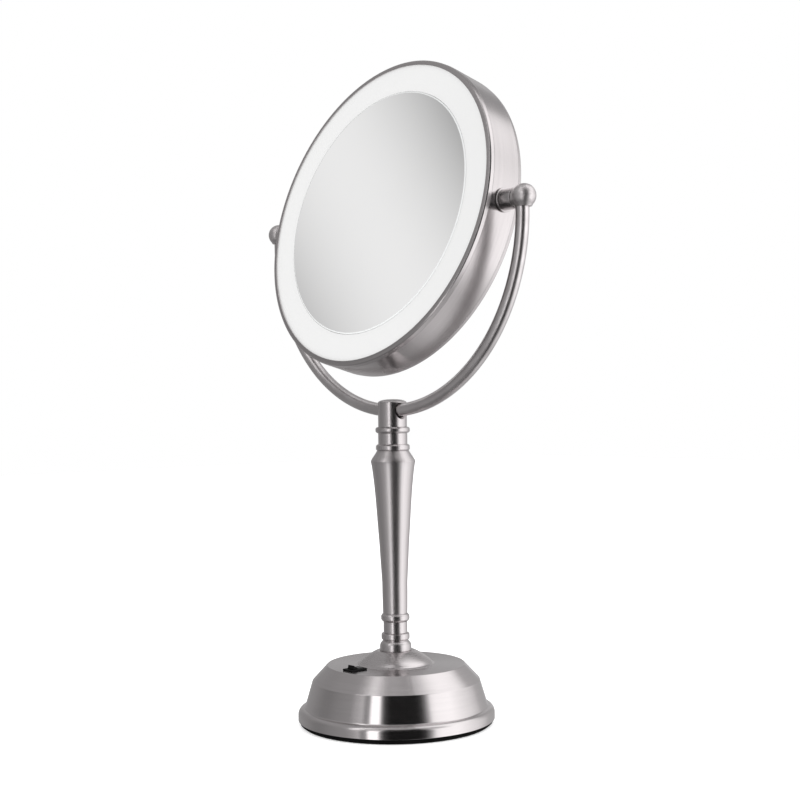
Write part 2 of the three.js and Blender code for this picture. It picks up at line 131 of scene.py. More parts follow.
# %% Flow
class Flow:
    def __init__(self, recipe, socket):
        self.recipe = recipe
        self.socket = socket

    def maths(self, operation, *others):
        """A Math node that takes this flow first."""
        return self.recipe.make("ShaderNodeMath", {"operation": operation}, (self, *others))

    def reflected(self, operation, first):
        """A Math node that takes this flow second, for sums that start with a number."""
        return self.recipe.make("ShaderNodeMath", {"operation": operation}, (first, self))

    def __add__(self, other):
        return self.maths("ADD", other)

    def __radd__(self, other):
        return self.reflected("ADD", other)

    def __sub__(self, other):
        return self.maths("SUBTRACT", other)

    def __rsub__(self, other):
        return self.reflected("SUBTRACT", other)

    def __mul__(self, other):
        return self.maths("MULTIPLY", other)

    def __rmul__(self, other):
        return self.reflected("MULTIPLY", other)

    def __truediv__(self, other):
        return self.maths("DIVIDE", other)

    def __rtruediv__(self, other):
        return self.reflected("DIVIDE", other)


# %% [markdown]
# A Recipe fills one node tree. make is the general step, and the others are the few mixes,
# ramps and noises that nearly every finish here needs.

# %% Recipe
class Recipe:
    def __init__(self, tree):
        self.tree = tree
        tree.nodes.clear()

    def feed(self, socket, value):
        if isinstance(value, Flow):
            self.tree.links.new(value.socket, socket)
        else:
            socket.default_value = value

    def make(self, kind, settings=None, sockets=None, take=0):
        node = self.tree.nodes.new(kind)
        for key, value in (settings or {}).items():
            if key == "stops":
                ramp = node.color_ramp
                while len(ramp.elements) < len(value):
                    ramp.elements.new(1.0)
                for element, (place, colour) in zip(ramp.elements, value):
                    element.position = place
                    element.color = (*colour, 1.0)
            else:
                setattr(node, key, value)
        pairs = enumerate(sockets) if isinstance(sockets, (list, tuple)) else (sockets or {}).items()
        for key, value in pairs:
            self.feed(node.inputs[key], value)
        return Flow(self, node.outputs[take])

    def blend(self, share, first, second):
        sockets = {0: share, 6: first, 7: second}
        return self.make("ShaderNodeMix", {"data_type": "RGBA"}, sockets, take=2)

    def between(self, value, low, high, out_low=0.0, out_high=1.0):
        sockets = (value, low, high, out_low, out_high)
        return self.make("ShaderNodeMapRange", {"interpolation_type": "SMOOTHSTEP"}, sockets)

    def vector(self, x, y, z):
        return self.make("ShaderNodeCombineXYZ", None, (x, y, z))

    def parts(self, vector):
        first = self.make("ShaderNodeSeparateXYZ", None, (vector,))
        return [Flow(self, socket) for socket in first.socket.node.outputs]

    def noise(self, vector, scale, detail=2.0, roughness=0.5):
        sockets = {"Vector": vector, "Scale": scale, "Detail": detail, "Roughness": roughness}
        return self.make("ShaderNodeTexNoise", None, sockets)

    def place(self):
        return self.make("ShaderNodeTexCoord", take="Object")


# %% [markdown]
# A finish is a material built from one recipe. The recipe returns what goes into the shader's
# sockets: a plain number is set on the socket itself, and a flow is linked to it.

# %% Finish and bump
finishes = {}


def finish(name, build):
    material = bpy.data.materials.new(name)
    material.use_nodes = True
    recipe = Recipe(material.node_tree)
    shader = recipe.tree.nodes.new("ShaderNodeBsdfPrincipled")
    output = recipe.tree.nodes.new("ShaderNodeOutputMaterial")
    recipe.tree.links.new(shader.outputs[0], output.inputs[0])
    for socket, value in build(recipe).items():
        recipe.feed(shader.inputs[socket], value)
    finishes[name] = material
    print("finish:", name, len(recipe.tree.nodes), "nodes")


def bump(recipe, height, strength, distance):
    return recipe.make("ShaderNodeBump", None, {"Strength": strength, "Distance": distance, "Height": height})


# %% [markdown]
# The room is a plain studio. What the eye sees behind the mirror is white, what falls on matt
# surfaces is even white light, and what the metal mirrors is a set of soft panels: a wide
# bright one on the right, a narrow bright one left of the eye, a dark gap behind the eye, and
# grey walls. Satin metal shows nothing but its surroundings, so this pattern, laid out by
# compass direction, is what models its shape. Each stop is a bearing in degrees and a level.

# %% Studio surroundings
world = bpy.data.worlds.new("studio")
bpy.context.scene.world = world
world.use_nodes = True
room = Recipe(world.node_tree)


def grey(brightness):
    return (brightness, brightness * 0.99, brightness * 0.995)


def compass(degrees):
    return (degrees + 180.0) / 360.0


WALL_PANELS = [
    (-180, 0.60), (-168, 0.52), (-153, 0.46), (-146, 0.60), (-134, 0.46), (-108, 0.33), (-95, 0.34),
    (-84, 0.33), (-60, 0.26), (-49, 0.26), (-34, 0.31), (-12, 0.36), (-2, 0.48), (3, 0.64),
    (8, 0.30), (13, 0.46), (16, 2.0), (26, 2.0), (29, 0.36), (33, 0.06), (40, 0.006), (76, 0.006),
    (82, 0.04), (87, 0.24), (91, 0.66), (95, 1.34), (102, 1.56), (124, 1.56), (140, 1.30),
    (158, 1.06), (170, 0.84), (180, 0.60),
]
CEILING_PANELS = [
    (-180, 1.15), (-174, 0.42), (-160, 0.28), (-140, 0.34), (-120, 0.40), (-95, 0.38), (-60, 0.37),
    (-30, 0.41), (-18, 0.50), (-14, 2.0), (-7, 2.0), (-1, 0.70), (14, 0.50), (40, 0.60), (88, 0.62),
    (112, 0.58), (130, 1.50), (152, 1.54), (170, 1.44), (180, 1.15),
]
FLOOR_PANELS = [
    (-180, 0.64), (-150, 0.40), (-134, 0.26), (-120, 0.26), (-60, 0.18), (0, 0.20), (18, 0.30),
    (34, 0.03), (80, 0.02), (96, 0.36), (131, 0.78), (156, 0.78), (180, 0.64),
]
MAX_LEVEL = 2.0

# %% Rings of panels
DEGREES = 180 / math.pi


def ring_of_panels(turn_share, panels):
    stops = [(compass(degrees), grey(brightness / MAX_LEVEL)) for degrees, brightness in panels]
    return room.make("ShaderNodeValToRGB", {"stops": stops}, {"Fac": turn_share})


sight = room.make("ShaderNodeTexCoord", take="Generated")
east, north, height = room.parts(sight)
bearing = east.maths("ARCTAN2", 0.0 - north) * DEGREES
turn_share = bearing / 360 + 0.5
elevation = height.maths("ARCSINE") * DEGREES
walls = ring_of_panels(turn_share, WALL_PANELS)
ceiling = ring_of_panels(turn_share, CEILING_PANELS)
below = ring_of_panels(turn_share, FLOOR_PANELS)

# %% [markdown]
# The three rings of panels are blended by elevation. The dark gap reaches higher than the
# walls do, so the ceiling starts later there.

# %% Walls, ceiling and floor together
dark_gap = room.between(bearing, 24, 34) * room.between(bearing, 82, 96, 1.0, 0.0)
upper = room.between(elevation, dark_gap * 30 + 24, dark_gap * 24 + 42)
lower = room.between(elevation, -50.0, -22.0)
surround = room.blend(upper, walls, ceiling)
surround = room.blend(lower, below, surround)

# %% [markdown]
# The flat glass looks towards one small part of the room. A soft card hangs there, just big
# enough to fill the glass from the eye's side. It is brightest along a slanting line through
# its middle and falls off to both sides, so the glass reads as a clean pale grey that
# darkens towards two opposite corners. From other sides the glass mirrors a calmed copy of
# the room. Satin metal never sees the card, because its reflections aren't perfectly clear.

# %% Card for the glass
CARD_CENTRE = Vector((-0.751, -0.500, 0.432)).normalized()
CARD_ACROSS = Vector((0.628, -0.338, 0.701)).normalized()
CARD_LEVEL = 0.431
CARD_FALL = 0.0092
CARD_SHIFT = 0.35
CALM_SHARE = 0.72
CALM_GREY = (0.29, 0.29, 0.29, 1.0)


def angle_to(direction, operation):
    sockets = (sight, tuple(direction))
    dot = room.make("ShaderNodeVectorMath", {"operation": "DOT_PRODUCT"}, sockets, take="Value")
    return dot.maths(operation) * DEGREES


off_centre = angle_to(CARD_CENTRE, "ARCCOSINE")
across = angle_to(CARD_ACROSS, "ARCSINE") + CARD_SHIFT
card_level = CARD_LEVEL - across * across * CARD_FALL
in_clear_glass = room.make("ShaderNodeLightPath", take="Is Singular Ray")
card = room.between(off_centre, 6.5, 9.0, 1.0, 0.0)
calm_room = room.blend(CALM_SHARE, surround, CALM_GREY)
in_glass = room.blend(card, calm_room, room.vector(card_level, card_level, card_level))
surround = room.blend(in_clear_glass, surround, in_glass)

# %% [markdown]
# Last, each kind of ray gets its own room. Reflections see the panels, matt surfaces get an
# even light a touch over white, and the eye sees plain white behind the mirror.

# %% Which ray sees what
mirrored = room.make("ShaderNodeLightPath", take="Is Glossy Ray")
to_the_eye = room.make("ShaderNodeLightPath", take="Is Camera Ray")
even = room.blend(to_the_eye, (1.02, 1.02, 1.02, 1.0), (1.0, 1.0, 1.0, 1.0))
bright = room.make("ShaderNodeVectorMath", {"operation": "SCALE"}, {0: surround, "Scale": MAX_LEVEL})
light = room.blend(mirrored, even, bright)
background = room.make("ShaderNodeBackground", None, {"Color": light, "Strength": 1.0})
world_output = world.node_tree.nodes.new("ShaderNodeOutputWorld")
world.node_tree.links.new(background.socket, world_output.inputs[0])
bpy.context.scene.view_settings.view_transform = "Standard"
print("studio:", len(WALL_PANELS), "wall stops,", len(CEILING_PANELS), "ceiling stops")

# %% [markdown]
# Two broad lamps, one high on the right and a weaker one in front on the left, give the matt
# pieces a soft direction. The metal's reflections leave them out and keep to the panels.

# %% Lamps
def soft_lamp(name, place, aim, size, watts):
    data = bpy.data.lights.new(name, "AREA")
    data.size = size
    data.energy = watts
    lamp = bpy.data.objects.new(name, data)
    lamp.location = place
    lamp.rotation_euler = (Vector(aim) - Vector(place)).to_track_quat("-Z", "Y").to_euler()
    lamp.visible_glossy = False
    bpy.context.collection.objects.link(lamp)
    print("lamp:", name, watts, "W")


MID_COLUMN = (0, 0, 0.2)
soft_lamp("key_lamp", (1.3, 0.5, 1.2), MID_COLUMN, 0.9, 6.0)
soft_lamp("fill_lamp", (-0.6, -1.4, 1.0), MID_COLUMN, 1.0, 3.0)

# %% [markdown]
# Brushed metal has fine scratches that all run one way. On a spun shell they run round it,
# and reflections stay crisp round the shell but smear up and down. That is anisotropy with
# the smear turned a quarter. The scratches themselves are noise stretched along the cut:
# fast across the grooves and slow along them, in each piece's own axis. The column's pieces
# are brushed lengthwise, and the tube and the cast balls have no grain, only a faint cloud.

# %% Nickel tones and round coordinates
NICKEL = (0.635, 0.606, 0.608, 1.0)
NICKEL_WORN = (0.555, 0.528, 0.531, 1.0)
# The lighter tone is the same nickel painted brighter, a painted highlight: on the ball and the tube it
# stands in for the extra light they catch.
NICKEL_PAINTED_LIGHTER = (0.75, 0.72, 0.722, 1.0)


def round_coordinates(recipe):
    """Direction round the piece's own axis in two numbers, then height along it and radius."""
    x, y, z = recipe.parts(recipe.place())
    radius = (x * x + y * y).maths("SQRT") + 1e-5
    return x / radius, y / radius, z, radius


# %% Brushed nickel
def brushed_round(recipe, roughness, smear, strength, wear=1.0):
    x, y, z, radius = round_coordinates(recipe)
    across = z - radius
    grooves = recipe.noise(recipe.vector(x * 2.5, y * 2.5, across * 2600), 1.0, 2.0, 0.7)
    bands = recipe.noise(recipe.vector(x * 1.2, y * 1.2, across * 320), 1.0, 3.0, 0.6)
    tone = recipe.between(bands, 0.25, 0.8) * wear
    return {
        "Base Color": recipe.blend(tone, NICKEL, NICKEL_WORN),
        "Metallic": 1.0,
        "Roughness": recipe.between(grooves, 0.2, 0.8, roughness - 0.03, roughness + 0.05),
        "Anisotropic": smear,
        "Anisotropic Rotation": 0.25,
        "Normal": bump(recipe, grooves, strength, 0.00002),
    }


def brushed_upright(recipe, roughness):
    x, y, z, _ = round_coordinates(recipe)
    grooves = recipe.noise(recipe.vector(x * 55, y * 55, z * 12), 1.0, 2.0, 0.6)
    tone = recipe.between(grooves, 0.3, 0.75)
    return {
        "Base Color": recipe.blend(tone, NICKEL, NICKEL_WORN),
        "Metallic": 1.0,
        "Roughness": recipe.between(grooves, 0.2, 0.8, roughness, roughness + 0.07),
        "Normal": bump(recipe, grooves, 0.04, 0.00002),
    }


# %% Tube and ball nickel
# The tube's tone is a random cloud between plain nickel and the lighter painted nickel, so it is real tone
# variation over a painted highlight.
def drawn_tube(recipe):
    wide = recipe.noise(recipe.place(), 60, 2.0, 0.5)
    return {
        "Base Color": recipe.blend(recipe.between(wide, 0.3, 0.7), NICKEL_PAINTED_LIGHTER, NICKEL),
        "Metallic": 1.0,
        "Roughness": recipe.between(wide, 0.25, 0.75, 0.31, 0.35),
    }


# The ball's tone is a random cloud between plain nickel and the lighter painted nickel, so it is real tone
# variation over a painted highlight.
def ball_satin(recipe):
    cloud = recipe.noise(recipe.place(), 700, 2.0, 0.6)
    return {
        "Base Color": recipe.blend(recipe.between(cloud, 0.3, 0.7), NICKEL_PAINTED_LIGHTER, NICKEL),
        "Metallic": 1.0,
        "Roughness": recipe.between(cloud, 0.25, 0.75, 0.36, 0.44),
        "Normal": bump(recipe, cloud, 0.03, 0.00002),
    }


# %% [markdown]
# The hidden metal is plainer. Zinc-plated steel is cloudy and a little bluish, and the ballast
# is a rough casting under black paint, so its grit shows in the bump.

# %% Plated steel and casting
def plated_steel(recipe):
    cloud = recipe.noise(recipe.place(), 500, 4.0, 0.6)
    tint = recipe.between(cloud, 0.3, 0.7)
    return {
        "Base Color": recipe.blend(tint, (0.62, 0.63, 0.65, 1.0), (0.50, 0.50, 0.51, 1.0)),
        "Metallic": 1.0,
        "Roughness": recipe.between(cloud, 0.2, 0.8, 0.28, 0.45),
        "Normal": bump(recipe, cloud, 0.08, 0.00005),
    }


def rough_casting(recipe):
    grit = recipe.noise(recipe.place(), 700, 5.0, 0.7)
    return {
        "Base Color": recipe.blend(grit, (0.03, 0.03, 0.032, 1.0), (0.08, 0.08, 0.082, 1.0)),
        "Metallic": 0.7,
        "Roughness": recipe.between(grit, 0.2, 0.8, 0.55, 0.8),
        "Normal": bump(recipe, grit, 0.5, 0.0004),
    }


# %% Metal finishes
finish("satin_nickel_spun", lambda recipe: brushed_round(recipe, 0.165, 1.0, 0.08, 0.35))
finish("satin_nickel_soft", lambda recipe: brushed_round(recipe, 0.25, 0.3, 0.025, 0.5))
finish("satin_nickel_fine", lambda recipe: brushed_round(recipe, 0.22, 0.6, 0.05))
finish("satin_nickel_band", lambda recipe: brushed_round(recipe, 0.18, 0.8, 0.02, 0.4))
finish("satin_nickel_upright", lambda recipe: brushed_upright(recipe, 0.31))
finish("satin_nickel_turned", lambda recipe: brushed_upright(recipe, 0.25))
finish("satin_nickel_tube", drawn_tube)
finish("ball_nickel", ball_satin)
finish("plated_steel", plated_steel)
finish("rough_casting", rough_casting)

# %% [markdown]
# Plastics and rubber are told apart by their skin. Moulded covers have a fine spark-eroded
# grain, the rubber foot is duller and softer, and the rocker key is polished. Each gets its
# grain from noise at its own scale, in bump and in a little roughness change.

# %% Plastic and rubber finishes
def grained(recipe, dark, light, grain, low, high, strength, depth, shine=0.5):
    skin = recipe.noise(recipe.place(), grain, 4.0, 0.65)
    cloud = recipe.noise(recipe.place(), grain / 25, 2.0, 0.5)
    return {
        "Base Color": recipe.blend(recipe.between(cloud, 0.3, 0.7), (*dark, 1.0), (*light, 1.0)),
        "Roughness": recipe.between(skin, 0.25, 0.75, low, high),
        "Specular IOR Level": shine,
        "Normal": bump(recipe, skin, strength, depth),
    }


BLACKEST, BLACK, SOOT = (0.002,) * 3, (0.004,) * 3, (0.005,) * 3
CREAM, WHITE = (0.78, 0.78, 0.76), (0.84, 0.84, 0.82)
finish("rubber_foot", lambda r: grained(r, BLACKEST, BLACK, 2200, 0.7, 0.85, 0.3, 0.00008, 0.06))
finish("moulded_black", lambda r: grained(r, (0.003,) * 3, SOOT, 2600, 0.42, 0.58, 0.22, 0.00006, 0.12))
finish("polished_black", lambda r: grained(r, BLACKEST, BLACK, 1500, 0.2, 0.28, 0.03, 0.00003, 0.12))
finish("moulded_white", lambda r: grained(r, CREAM, WHITE, 2200, 0.45, 0.6, 0.15, 0.00005))
finish("wire_jacket", lambda r: grained(r, (0.015,) * 3, (0.022,) * 3, 1800, 0.4, 0.55, 0.15, 0.00004))

# %% [markdown]
# The light ring is an opal sheet with lamps behind it. It glows almost evenly, a touch
# stronger along the middle of its width where the lamps sit, and it has a satin skin. Its
# radii below are in metres, because that is what a finish reads.
# The glass is silvered on its back, so its face is a clear mirror with a faint unevenness in
# its silver. Its narrow bevel is ground, so it is pale and picks up the ring's light instead.

# %% Opal and glass finishes
def opal_glow(recipe):
    x, _, _, radius = round_coordinates(recipe)
    inner = recipe.between(radius, 0.0992, 0.1045, 0.955, 1.0)
    outer = recipe.between(radius, 0.1165, 0.1208, 1.0, 0.95)
    skin = recipe.noise(recipe.place(), 1800, 3.0, 0.5)
    far_side = recipe.between(x, 0.3, 1.0, 1.0, 0.93)
    glow = inner * outer * far_side
    colour = recipe.vector(glow, glow * 0.998, glow * 0.992)
    return {
        "Base Color": recipe.blend(skin, (0.42, 0.42, 0.42, 1.0), (0.46, 0.46, 0.46, 1.0)),
        "Roughness": recipe.between(skin, 0.3, 0.7, 0.4, 0.5),
        "Specular IOR Level": 0.2,
        "Emission Color": colour,
        "Emission Strength": 0.337,
        "Normal": bump(recipe, skin, 0.04, 0.00003),
    }


def silvered(recipe):
    radius = round_coordinates(recipe)[-1]
    haze = recipe.noise(recipe.place(), 30, 3.0, 0.5)
    edge = recipe.between(radius, 0.09795, 0.0981)
    face = recipe.blend(haze, (0.94, 0.937, 0.936, 1.0), (0.955, 0.952, 0.95, 1.0))
    return {
        "Base Color": recipe.blend(edge, face, (0.74, 0.75, 0.75, 1.0)),
        "Metallic": 1.0 - edge,
        "Roughness": 0.0,
    }


finish("opal_glow", opal_glow)
finish("silvered_glass", silvered)

# %% [markdown]
# The inner pieces are rarely seen, but each still gets its own finish: boards with copper
# runs under their mask, cells in a plain sleeve with bare metal ends, bright contact strip.

# %% Inner finishes
def solder_mask(recipe, mask, copper, cell):
    sockets = {"Vector": recipe.place(), "Scale": cell}
    runs = recipe.make("ShaderNodeTexVoronoi", {"distance": "CHEBYCHEV"}, sockets)
    line = recipe.between(runs, 0.32, 0.36)
    dust = recipe.noise(recipe.place(), 1500, 3.0, 0.6)
    return {
        "Base Color": recipe.blend(line, (*mask, 1.0), (*copper, 1.0)),
        "Roughness": recipe.between(dust, 0.3, 0.7, 0.35, 0.55),
        "Normal": bump(recipe, line, 0.2, 0.00005),
    }


def cell_sleeve(recipe):
    z = recipe.parts(recipe.place())[2]
    shoulder = recipe.between(z, 0.0225, 0.0228)
    base_end = recipe.between(z, -0.0243, -0.0240, 1.0, 0.0)
    band = recipe.between(z, 0.0108, 0.0110)
    cloud = recipe.noise(recipe.place(), 400, 3.0, 0.5)
    sleeve = recipe.blend(band, (0.018, 0.03, 0.075, 1.0), (0.55, 0.42, 0.2, 1.0))
    bare = shoulder.maths("MAXIMUM", base_end)
    return {
        "Base Color": recipe.blend(bare, sleeve, (0.7, 0.7, 0.71, 1.0)),
        "Metallic": bare,
        "Roughness": recipe.between(cloud, 0.3, 0.7, 0.25, 0.36),
    }


finish("green_board", lambda r: solder_mask(r, (0.01, 0.11, 0.045), (0.03, 0.2, 0.08), 260))
finish("white_board", lambda r: solder_mask(r, (0.74, 0.74, 0.71), (0.66, 0.66, 0.63), 220))
finish("cell_sleeve", cell_sleeve)

# %% [markdown]
# Most pieces come off a lathe, so one helper spins a profile about the piece's own Z axis.
# A corner given a radius is rounded first, because no real edge is perfectly sharp and it
# is the small rounds that catch the light. The piece is then placed by its matrix, so its
# own axis stays its axle, and finishes that follow the axis need nothing more.

# %% Rounded corners
def rounded(profile, steps=5):
    points = []
    count = len(profile)
    for i, corner in enumerate(profile):
        here = Vector(corner[:2])
        size = corner[2] if len(corner) > 2 else 0.0
        before = Vector(profile[i - 1][:2]) - here
        after = Vector(profile[(i + 1) % count][:2]) - here
        if size <= 0.0 or before.length < 1e-9 or after.length < 1e-9:
            points.append(here)
            continue
        half = before.angle(after) / 2
        reach = min(size / math.tan(half), before.length * 0.49, after.length * 0.49)
        first = here + before.normalized() * reach
        last = here + after.normalized() * reach
        for step in range(steps + 1):
            t = step / steps
            points.append(first * (1 - t) ** 2 + here * 2 * t * (1 - t) + last * t ** 2)
    return points


print("a right angle rounded:", len(rounded([(0, 0), (1, 0, 0.2), (1, 1), (0, 1)])), "points")


# %% New pieces and their shading
def new_piece(name, mesh, place=None):
    piece = bpy.data.objects.new(name, mesh)
    bpy.context.collection.objects.link(piece)
    if place is not None:
        piece.matrix_world = place
    return piece


def smooth(piece, degrees=32.0):
    piece.data.shade_smooth()
    piece.data.set_sharp_from_angle(angle=math.radians(degrees))


def keep_flats_flat(piece):
    """Let the large faces decide the shading, so a small round doesn't bend a flat or a cone."""
    step = piece.modifiers.new("keep_flats_flat", "WEIGHTED_NORMAL")
    step.mode = "FACE_AREA"
    step.weight = 50
    step.keep_sharp = True


def take_mesh(work, name):
    """Turn finished mesh work into mesh data."""
    mesh = bpy.data.meshes.new(name)
    work.to_mesh(mesh)
    work.free()
    return mesh


# %% Lathe
def spin(name, profile, segments=160, place=None):
    """Spin a closed [radius, height, rounding] profile in millimetres about Z."""
    points = rounded(profile)
    work = bmesh.new()
    rings = []
    for point in points:
        radius, height = point[0] * MM, point[1] * MM
        if radius < 1e-7:
            rings.append([work.verts.new((0.0, 0.0, height))])
            continue
        ring = []
        for step in range(segments):
            angle = 2 * math.pi * step / segments
            ring.append(work.verts.new((radius * math.cos(angle), radius * math.sin(angle), height)))
        rings.append(ring)
    for low, high in zip(rings, rings[1:] + rings[:1]):
        if len(low) == 1 and len(high) == 1:
            continue
        for step in range(segments):
            after = (step + 1) % segments
            inside = [low[step % len(low)], low[after % len(low)]]
            outside = [high[after % len(high)], high[step % len(high)]]
            unique = list(dict.fromkeys(inside + outside))
            if len(unique) > 2:
                work.faces.new(unique)
    bmesh.ops.remove_doubles(work, verts=work.verts, dist=1e-7)
    bmesh.ops.recalc_face_normals(work, faces=work.faces)
    piece = new_piece(name, take_mesh(work, name), place)
    smooth(piece)
    return piece


# %% Block, and joining or cutting
def round_off(work, edges, reach):
    """Round some edges of a mesh by a reach in millimetres."""
    bmesh.ops.bevel(work, geom=edges, offset=reach * MM, segments=3, profile=0.5, affect="EDGES")


def block(name, low, high, round_edge=0.0, place=None):
    """A block between two corners in millimetres, with its edges rounded if asked."""
    work = bmesh.new()
    bmesh.ops.create_cube(work, size=1.0)
    low, high = Vector(low) * MM, Vector(high) * MM
    for vertex in work.verts:
        vertex.co = Vector([low[k] + (vertex.co[k] + 0.5) * (high[k] - low[k]) for k in range(3)])
    if round_edge > 0:
        round_off(work, work.edges[:], round_edge)
    return new_piece(name, take_mesh(work, name), place)


def shape_with(piece, tool, operation="DIFFERENCE"):
    """Join or cut one piece with another and keep only the result."""
    step = piece.modifiers.new("shape", "BOOLEAN")
    step.object = tool
    step.operation = operation
    step.solver = "EXACT"
    bpy.context.view_layer.update()
    graph = bpy.context.evaluated_depsgraph_get()
    result = bpy.data.meshes.new_from_object(piece.evaluated_get(graph))
    piece.modifiers.clear()
    piece.data = result
    bpy.data.objects.remove(tool, do_unlink=True)


# %% [markdown]
# Every finished piece is dressed in one go: its finish, the body it rides on and the solid it
# stands for.

# %% Dressing and placing
def dress(piece, finish_name, slot_name, body, *nodes, has_flats=True):
    piece.data.materials.clear()
    piece.data.materials.append(finishes[finish_name])
    if has_flats:
        keep_flats_flat(piece)
    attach(piece, body)
    if nodes:
        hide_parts(*nodes)
    print("piece:", piece.name, len(piece.data.polygons), "faces, stands for", ", ".join(nodes))


def at(x, y, z):
    """A shift in millimetres."""
    return Matrix.Translation((x * MM, y * MM, z * MM))


def turn_about(axis, degrees):
    return Matrix.Rotation(math.radians(degrees), 4, axis)


def along_x(height):
    """Points a piece's own Z along +X at a height."""
    return at(0, 0, height) @ turn_about("Y", 90)


def along_y(height):
    """Points a piece's own Z along +Y at a height."""
    return at(0, 0, height) @ turn_about("X", -90)


def outward(sign):
    """Points a piece's own Z out of the head along the pivots' axis, to the left or the right."""
    return at(0, 0, PIVOT) @ turn_about("Z", 0 if sign > 0 else 180) @ turn_about("Y", 90)


# %% [markdown]
# The base is one spun shell: a rolled flange at the bottom, a steep cone, a shallower
# shoulder and a flat top. It is drawn as one closed outline, outside and inside, and the
# switch's slot is cut through afterwards.

# %% Base shell
FLANGE_RADIUS = 77.2
ROD_BORE = 5.6
SWITCH_Y = -42.0


def flange_round(angle):
    """A point on the flange's rolled edge, a quarter ellipse."""
    return (FLANGE_RADIUS - 4.6 * (1 - math.cos(angle)), 8.6 + 4.9 * math.sin(angle))


outside = [
    (76.1, FOOT_TOP), (FLANGE_RADIUS, FOOT_TOP, 0.35), *[flange_round(step / 5) for step in range(8)],
    (72.2, 13.7), (71.75, 14.3, 0.4), (65.8, 34.2, 1.0), (54.1, BASE_TOP, 0.9), (ROD_BORE, BASE_TOP),
]
inside = [
    (ROD_BORE, 45.4), (53.6, 45.4), (64.7, 33.6), (70.5, 14.0), (72.6, 12.6), (75.0, 10.9), (76.1, 8.4),
]
shell = spin("spun_base", outside + inside, 192)
shape_with(shell, block("slot_tool", (-4.7, SWITCH_Y - 6.9, 40), (4.7, SWITCH_Y + 6.9, 50)))
smooth(shell, 30)
dress(shell, "satin_nickel_spun", "satin_nickel", "stand", "base_shell")

# %% [markdown]
# Under the shell a soft black ring keeps the mirror from sliding, and a moulded plate
# closes the base. The round battery cover turns 30 degrees to free its three tabs.

# %% Foot, cover plate and battery cover
foot = spin("foot_pad", [
    (66.0, 0.0, 0.6), (73.4, 0.0, 1.4), (75.9, 1.9, 0.8), (75.9, FOOT_TOP, 0.2), (66.0, FOOT_TOP, 0.3),
], 160)
dress(foot, "rubber_foot", "black_rubber", "stand", "foot_ring")


def thirds(first, radius):
    """Three places evenly round the axis, each turned to face outward."""
    for degrees in (first, first + 120, first + 240):
        angle = math.radians(degrees)
        yield at(radius * math.cos(angle), radius * math.sin(angle), 0) @ turn_about("Z", degrees)


SCREW_RING = 56
plate = spin("cover_plate", [(44.6, FOOT_TOP, 0.3), (75.6, FOOT_TOP, 0.3), (75.6, 6.6), (44.6, 6.6)], 160)
for place in thirds(30, 0):
    shape_with(plate, block("notch_tool", (40, -8.6, 2), (48.8, 8.6, 9), 0.0, place))
countersunk = [(0, 2), (3.4, 2), (3.4, 4.3), (1.7, 5.0), (1.7, 9), (0, 9)]
for place in thirds(90, SCREW_RING):
    shape_with(plate, spin("hole_tool", countersunk, 24, place))
smooth(plate, 30)
dress(plate, "moulded_black", "black_plastic", "stand", "base_plate")

cover = spin("battery_cover", [
    (0, FOOT_TOP), (43.0, FOOT_TOP), (44.2, 4.9, 0.3), (44.2, 8.1, 0.3), (41.0, 8.1, 0.3), (41.0, 6.4),
    (0, 6.4),
], 128)
for place in thirds(0, 0):
    shape_with(cover, block("tab_tool", (42, -8, 6.9), (48.4, 8, 8.1), 0.3, place), "UNION")
shape_with(cover, block("grip_tool", (-18, -2, 1.8), (18, 2, 4.6), 0.6), "UNION")
for side in (-1, 1):
    scoop_profile = [(0, 3.2), (9.0, 3.2), (7.0, 5.3, 0.5), (0, 5.3)]
    shape_with(cover, spin("scoop_tool", scoop_profile, 48, at(0, side * 14, 0)))
smooth(cover, 30)
dress(cover, "moulded_black", "black_plastic", "battery_cover", "battery_door")

# %% [markdown]
# Each screw has a low domed head with a cross cut in it. The cross is two thin slots
# taken out of a spun head.

# %% Cover screws
for number, place in enumerate(thirds(90, SCREW_RING), start=1):
    screw = spin(f"cover_screw_{number}", [
        (0, 2.6), (1.6, 2.65), (2.6, 2.95, 0.3), (3.0, 3.5, 0.2), (3.0, FOOT_TOP), (1.4, FOOT_TOP),
        (1.4, 13.6, 0.4), (0, 14),
    ], 40, place)
    for degrees in (0, 90):
        cross_place = place @ turn_about("Z", degrees)
        shape_with(screw, block("cross_tool", (-1.7, -0.28, 2.0), (1.7, 0.28, 3.5), 0.0, cross_place))
    smooth(screw, 30)
    dress(screw, "plated_steel", "zinc_steel", "stand", f"base_screw_{number}")

# %% [markdown]
# The column is a stack of turned pieces on one tie rod: a low dome on the base, a bulb, a
# beaded neck, a long taper, a second beaded neck and the socket that holds the yoke. Each
# is spun on its own so the joints between them show as the fine lines they are.

# %% Column
dome = spin("column_dome", [
    (30.5, BASE_TOP), (30.3, 46.8), (29.5, 47.1), (28.6, 47.7), (27.7, 48.6), (26.6, 49.7), (25.0, 51.0),
    (22.8, 52.6), (20.2, 54.3), (17.8, 55.7), (16.4, 56.4), (15.0, DOME_TOP, 0.6),
    (ROD_BORE, DOME_TOP), (ROD_BORE, BASE_TOP), (9.0, BASE_TOP), (9.0, 54.8), (14.4, 54.8), (28.2, BASE_TOP),
], 128)
dress(dome, "satin_nickel_soft", "satin_nickel", "stand", "column_escutcheon")

bulb = spin("column_bulb", [
    (ROD_BORE, DOME_TOP), (12.4, DOME_TOP, 0.4), (12.4, 60.5), (12.2, 61.8), (11.6, 63.0), (10.8, 64.0),
    (9.95, 64.7, 0.3), (9.95, 65.2, 0.25), (10.9, 65.9, 0.8), (11.1, 66.6), (11.1, 69.6), (10.9, 70.3, 0.8),
    (9.4, BULB_TOP), (ROD_BORE, BULB_TOP),
], 96)
dress(bulb, "satin_nickel_turned", "satin_nickel", "stand", "lower_bulb")

